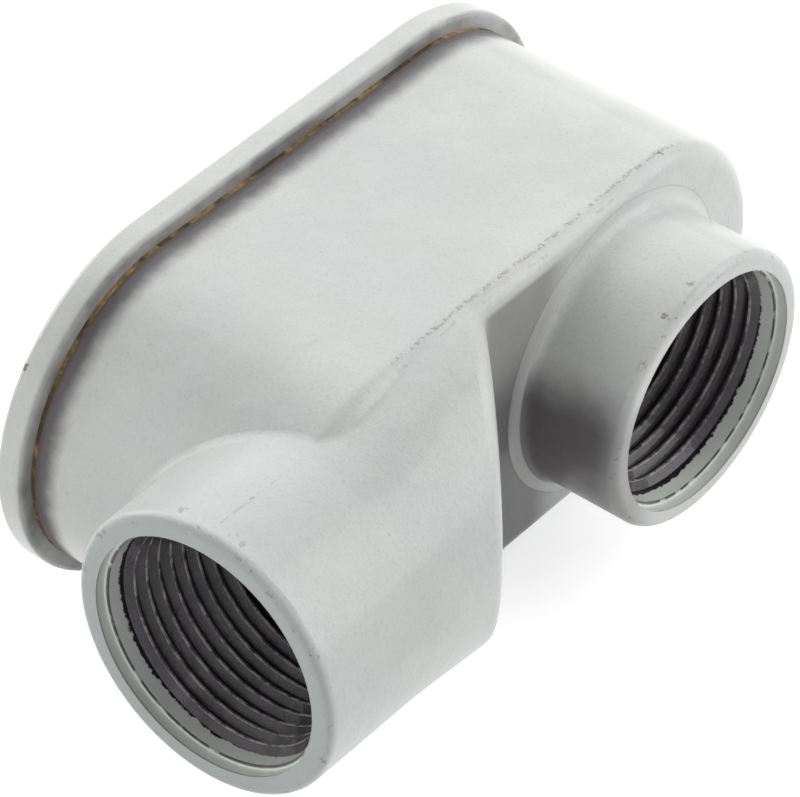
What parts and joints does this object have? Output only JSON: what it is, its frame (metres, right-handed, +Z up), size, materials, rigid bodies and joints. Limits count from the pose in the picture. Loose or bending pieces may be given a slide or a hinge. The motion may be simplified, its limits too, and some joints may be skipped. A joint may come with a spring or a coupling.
{
  "type": "conduit body",
  "caption": "Short right-angle conduit body: an enamelled iron casting with a threaded end hub and a threaded back hub, closed by a flat cover on a gasket.",
  "frame": {"origin": "bottom centre of the box round the whole part, which lies on its long flat side", "axes": "+X along the length towards the end hub's mouth, +Y away from the cover towards the back hub's mouth, +Z up, square to the plane of the two hubs"},
  "size_m": [0.0896, 0.0506, 0.0416],
  "materials": {
    "body": "glossy light grey enamel outside, bare oiled iron in the threads",
    "gasket": "matte tan vulcanised fibre",
    "cover": "glossy light grey enamel",
    "cover_screws": "zinc plated steel"
  },
  "bodies": {
    "root": {"body": "body", "gasket": "gasket", "cover": "cover", "cover_screws": "cover_screws"}
  },
  "joints": []
}
